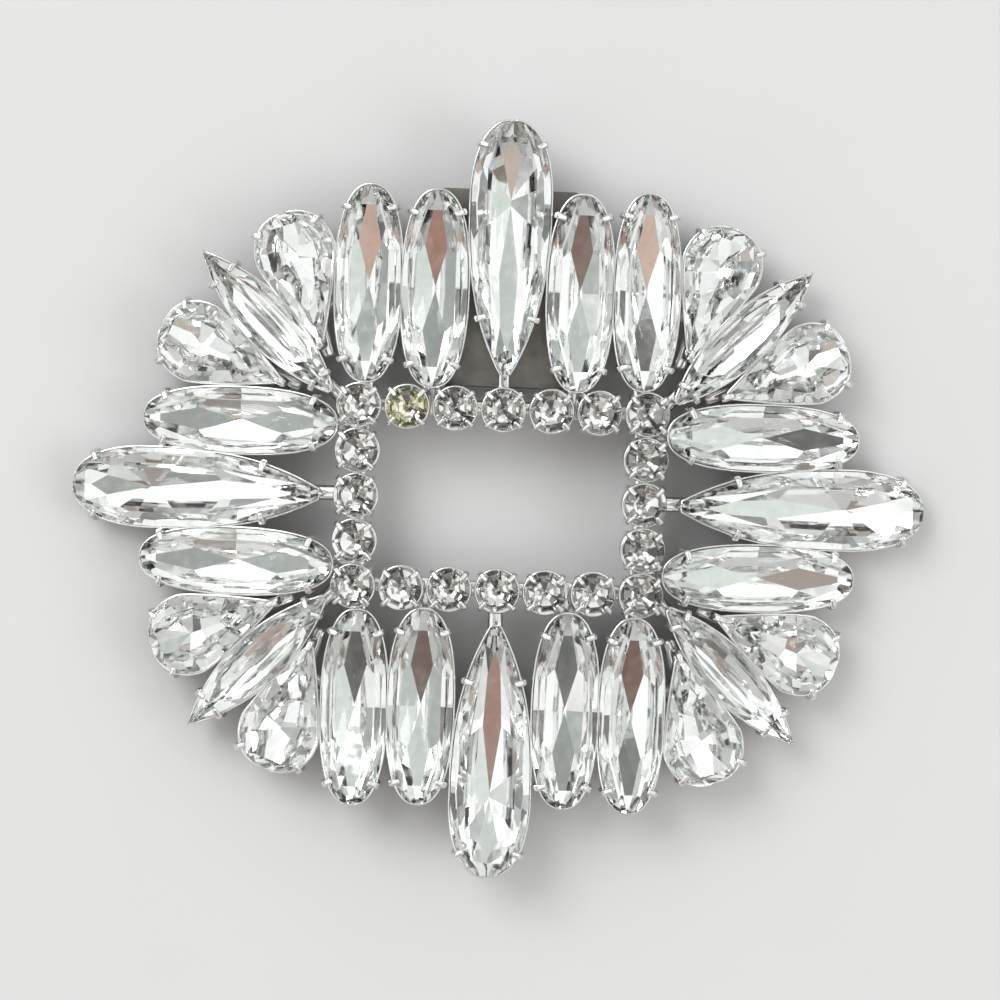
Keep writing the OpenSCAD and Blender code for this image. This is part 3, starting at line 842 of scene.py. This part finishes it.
# The sprung leaf with its barrel and jaw. Its flat part and its jaw start at places along the plate, and the
# neck lies before the barrel's middle
CLIP_W, CLIP_T, BARREL_R, CLIP_GAP, JAW_GAP = 9.0, 0.6, 1.15, 0.15, 0.5
LEAF_START, JAW_START, NECK = 3.6, 0.7, 2
LEAF_BEVEL, BARREL_STEPS = 0.1, 30
# The plate's two ears, a little smaller than the barrel and short of the plate's end
EAR_R, EAR_T, EAR_END = BARREL_R - 0.05, 0.8, 0.4
EAR_BEVEL, EAR_SIDES = 0.08, 40
# The pin, whose chamfered ends have a share of its radius
PIN_R, PIN_CHAMFER, PIN_END, PIN_SIDES = 0.5, 0.12, 0.7, 28
plate_y = corner.y + ROUND_D / 2
plate_z = crest_z - SETTING_DEPTH + PLATE_SINK - PLATE_T
barrel_y = plate_y + PLATE_L - EAR_R - EAR_END
barrel_z = plate_z - CLIP_GAP - BARREL_R
# Profile planes: x of the profile is y of the part, y of the profile is z of the part
SIDEWAYS = Matrix(((0, 0, 1, 0), (1, 0, 0, 0), (0, 1, 0, 0), (0, 0, 0, 1)))


def arc(cx, cy, r, start, end, n):
    """Points on a circle between two angles in degrees."""
    angles = [math.radians(start + (end - start) * k / n) for k in range(n + 1)]
    return [(cx + r * math.cos(a), cy + r * math.sin(a)) for a in angles]


def make_plate():
    x, y, r, n = PLATE_W / 2 - PLATE_R, PLATE_L - PLATE_R, PLATE_R, PLATE_CORNER_STEPS
    outline = (arc(x, y, r, 0, 90, n) + arc(-x, y, r, 90, 180, n)
               + arc(-x, r, r, 180, 270, n) + arc(x, r, r, 270, 360, n))
    bm = bmesh.new()
    add_slab(bm, outline, Matrix.Translation((0, plate_y, plate_z)), PLATE_T)
    # The plate's near-black metal is painted shade
    plate = new_object("clip_plate", bm, (shade_painted_plate,))
    bevelled(plate, PLATE_BEVEL)
    finish_piece(plate, "frame")


def make_ears():
    """An ear is round below its hole for the pin and square above, where it meets the plate."""
    hole, top = PIN_R + CLIP_GAP, BARREL_R + CLIP_GAP + PLATE_T / 2
    inner, outer = [], []
    for c, s in circle(EAR_SIDES):
        reach = EAR_R if s <= 0 else min(EAR_R / max(abs(c), 1e-9), top / s)
        inner.append((hole * c, hole * s))
        outer.append((reach * c, reach * s))
    inside = CLIP_W / 2 + CLIP_GAP
    bm = bmesh.new()
    for x in (-inside - EAR_T, inside):
        place = Matrix.Translation((x, barrel_y, barrel_z)) @ SIDEWAYS
        add_rings(bm, [[place @ Vector((*p, z)) for p in ring] for ring, z in
                       ((outer, 0), (outer, EAR_T), (inner, EAR_T), (inner, 0))], closed_path=True)
    outward(bm)
    ears = new_object("clip_ears", bm, (silver,))
    bevelled(ears, EAR_BEVEL)
    finish_piece(ears, "frame")


def make_leaf():
    """The leaf lies on the floor, with the barrel at its north end and the turned-up jaw at the south."""
    start, neck = plate_y + LEAF_START, barrel_y - NECK
    jaw, jaw_z = plate_y + JAW_START, plate_z - JAW_GAP
    profile = [(start, 0), (neck, 0), (neck + 0.8, 0.02), (barrel_y - 0.5, barrel_z - BARREL_R * 0.9)]
    profile += arc(barrel_y, barrel_z, BARREL_R, -115, 180, BARREL_STEPS)
    profile += [(neck - 0.3, CLIP_T), (start + 0.2, CLIP_T), (jaw + 1.6, 1.5), (jaw + CLIP_T, jaw_z),
                (jaw, jaw_z), (jaw + 0.9, 0.9)]
    bm = bmesh.new()
    add_slab(bm, profile, Matrix.Translation((-CLIP_W / 2, 0, 0)) @ SIDEWAYS, CLIP_W)
    outward(bm)
    leaf = new_object("clip_leaf", bm, (steel,))
    bevelled(leaf, LEAF_BEVEL)
    finish_piece(leaf, "shoe_clip")


def make_pin():
    half = CLIP_W / 2 + CLIP_GAP + EAR_T
    ends = ((-half, PIN_END), (-half + PIN_CHAMFER, 1), (half - PIN_CHAMFER, 1), (half, PIN_END))
    bm = bmesh.new()
    add_rings(bm, [[Vector((x, barrel_y + PIN_R * share * c, barrel_z + PIN_R * share * s))
                    for c, s in circle(PIN_SIDES)] for x, share in ends], cap=True)
    outward(bm)
    finish_piece(new_object("clip_pin", bm, (steel,), smooth=True), "shoe_clip")


# Floor, camera and lamps. FLOOR_HALF, half the floor's side, is in metres
FLOOR_HALF = 1.5
CAMERA_AT, TARGET = Vector((-8.0, 17.5, 322.0)) * MM, Vector((0.0, 0.0, 5.0)) * MM
LENS, SENSOR, ROLL = 145, 36, math.radians(2.0)


def make_floor():
    mat, tree, bsdf = nodes_of("floor")
    cloud = noise(tree, scale=60, detail=2)
    tree.links.new(ramp(tree, cloud, [(0.3, grey(0.516)), (0.7, grey(0.524))]), bsdf.inputs["Base Color"])
    bsdf.inputs["Roughness"].default_value = 0.75
    bm = bmesh.new()
    bmesh.ops.create_grid(bm, x_segments=8, y_segments=8, size=FLOOR_HALF)
    new_object("floor", bm, (mat,))


def make_camera():
    data = bpy.data.cameras.new("camera")
    data.sensor_width, data.lens = SENSOR, LENS
    data.clip_start, data.clip_end = 0.01, 10
    camera = bpy.data.objects.new("camera", data)
    bpy.context.scene.collection.objects.link(camera)
    bpy.context.scene.camera = camera
    away = (CAMERA_AT - TARGET).normalized()
    across = Vector((math.cos(ROLL), math.sin(ROLL), 0))
    across = (across - away * across.dot(away)).normalized()
    above = away.cross(across)
    axes = Matrix((across, above, away)).transposed().to_4x4()
    camera.matrix_world = Matrix.Translation(CAMERA_AT) @ axes


def make_lamp(name, at, size, power, in_mirrors):
    """A soft lamp that points at the origin, in metres and watts. in_mirrors: glass and metal mirror it."""
    data = bpy.data.lights.new(name, "AREA")
    data.shape, data.size, data.size_y = "RECTANGLE", size[0], size[1]
    data.energy = power
    ob = bpy.data.objects.new(name, data)
    ob.visible_glossy = ob.visible_transmission = in_mirrors
    ob.location = at
    ob.rotation_euler = (-Vector(at)).to_track_quat("-Z", "Y").to_euler()
    bpy.context.scene.collection.objects.link(ob)


# The studio, which the stones mirror. Its light by height, as the sine of the elevation
STUDIO = [(0.0, grey(0.16)), (0.14, grey(0.34)), (0.28, grey(0.8)), (0.42, grey(1.0))]
STUDIO_STRENGTH = 1.26
# Tones of its darker places, as shares of red, green and blue
TONES = {"brown": (1.0, 0.57, 0.45), "tan": (1.0, 0.7, 0.58), "warm": (1.0, 0.82, 0.72),
         "plain": (1.0, 0.98, 0.96), "cool": (0.94, 1.0, 0.95)}
# The darker places, listed: azimuth east of north, elevation, half-angles of the core and of the rim,
# tone and brightness
DARKER = [
    # nearly straight above
    (335, 87, 5, 8, "plain", 0.18),
    # broad tones
    (180, 30, 18, 48, "plain", 0.45),
    (180, 50, 12, 18, "warm", 0.5),
    (0, 58, 13, 20, "cool", 0.54),
    (97, 36, 10, 16, "cool", 0.66),
    (268, 25, 9, 13, "cool", 0.35),
    # small darker places
    (290, 47.5, 3, 6, "cool", 0.26),
    (250, 30, 4, 7, "warm", 0.34),
    (220, 36, 3.5, 6.5, "plain", 0.2),
    (196, 23, 4, 7, "warm", 0.21),
    (169, 37.5, 3.5, 6, "warm", 0.19),
    (116, 46, 3, 6, "warm", 0.24),
    (125, 32, 4, 7, "plain", 0.27),
    (107, 28, 4, 7, "cool", 0.42),
    (187, 35.5, 2, 3.5, "cool", 0.23),
    (211, 27, 2, 3.5, "cool", 0.23),
    (139, 56, 3, 4.5, "warm", 0.26),
    (176, 35, 2, 3, "warm", 0.13),
    (176, 21, 2.5, 4, "warm", 0.18),
    # what the long facets of the north row show
    (198, 54, 3.2, 4.2, "tan", 0.52),
    (187, 56.5, 2.6, 3.6, "brown", 0.33),
    (180, 46.3, 1.0, 1.7, "plain", 0.13),
    (171, 55, 3.2, 4.2, "brown", 0.14),
    (158, 55, 3.4, 4.4, "tan", 0.5),
    (343, 55, 3.2, 4.2, "cool", 0.39),
    (353, 56, 2.5, 3.4, "cool", 0.31),
    (10.5, 56.5, 2.8, 3.8, "cool", 0.45),
    (21, 53.5, 2.2, 3.2, "plain", 0.12),
    # of the south row
    (193, 46.5, 3.0, 4.0, "plain", 0.1),
    (185, 49.5, 2.2, 3.2, "brown", 0.11),
    (172, 48, 2.6, 3.6, "cool", 0.08),
    (163.5, 48, 2.6, 3.4, "brown", 0.16),
    (13.5, 62, 3.0, 4.0, "cool", 0.25),
    (24, 59.5, 3.0, 4.0, "cool", 0.18),
    (176.5, 63.2, 2.4, 3.4, "brown", 0.28),
    # of the east and west sides
    (256, 78.5, 4, 5.5, "warm", 0.29),
    (265, 80.5, 2.0, 3.0, "plain", 0.05),
    (104.5, 76.3, 2.6, 3.7, "cool", 0.27),
    (97, 72, 2.5, 4, "cool", 0.3),
    (203, 29, 2.5, 4.0, "plain", 0.09),
    (154, 27.5, 2.5, 4.0, "tan", 0.32),
]


def darken(tree, view, light, azimuth, height, core, rim, tone, level):
    """The light with a soft-edged darker place in it."""
    a, e = math.radians(azimuth), math.radians(height)
    dot = add(tree, "ShaderNodeVectorMath", operation="DOT_PRODUCT")
    dot.inputs[1].default_value = (math.sin(a) * math.cos(e), math.cos(a) * math.cos(e), math.sin(e))
    tree.links.new(view, dot.inputs[0])
    spot = add(tree, "ShaderNodeMapRange", interpolation_type="SMOOTHSTEP")
    spot.inputs["From Min"].default_value = math.cos(math.radians(rim))
    spot.inputs["From Max"].default_value = math.cos(math.radians(core))
    tree.links.new(dot.outputs["Value"], spot.inputs["Value"])
    mix = add(tree, "ShaderNodeMix", data_type="RGBA")
    tree.links.new(spot.outputs["Result"], mix.inputs["Factor"])
    # The node's colour sockets are inputs 6 and 7 and output 2
    tree.links.new(light, mix.inputs[6])
    mix.inputs[7].default_value = (*(level * share for share in TONES[tone]), 1)
    return mix.outputs[2]


def make_studio():
    world = bpy.data.worlds.new("studio")
    bpy.context.scene.world = world
    world.use_nodes = True
    world.cycles.sampling_method = "NONE"
    tree = world.node_tree
    back = tree.nodes["Background"]
    view = add(tree, "ShaderNodeTexCoord").outputs["Generated"]
    split = add(tree, "ShaderNodeSeparateXYZ")
    tree.links.new(view, split.inputs["Vector"])
    light = ramp(tree, split.outputs["Z"], STUDIO)
    for place in DARKER:
        light = darken(tree, view, light, *place)
    tree.links.new(light, back.inputs["Color"])
    back.inputs["Strength"].default_value = STUDIO_STRENGTH


cuts = {kind: cut_stone(kind) for kind in KINDS}
make_large_stones(cuts)
make_round_stones(cuts["round"])
make_cup_rims()
make_walls()
make_claws()
make_wires()
make_plate()
make_ears()
make_leaf()
make_pin()
make_floor()
make_camera()
make_lamp("key", (-0.45, 0.45, 0.75), (0.5, 0.5), 5, True)
make_lamp("fill", (0.7, -0.15, 0.6), (0.5, 0.4), 2.5, False)
make_studio()
bpy.context.scene.view_settings.view_transform = "Standard"
# Light turns many times inside a foiled stone before it leaves
cycles = bpy.context.scene.cycles
cycles.max_bounces = 14
cycles.glossy_bounces = 9
cycles.transmission_bounces = 10
cycles.diffuse_bounces = 2
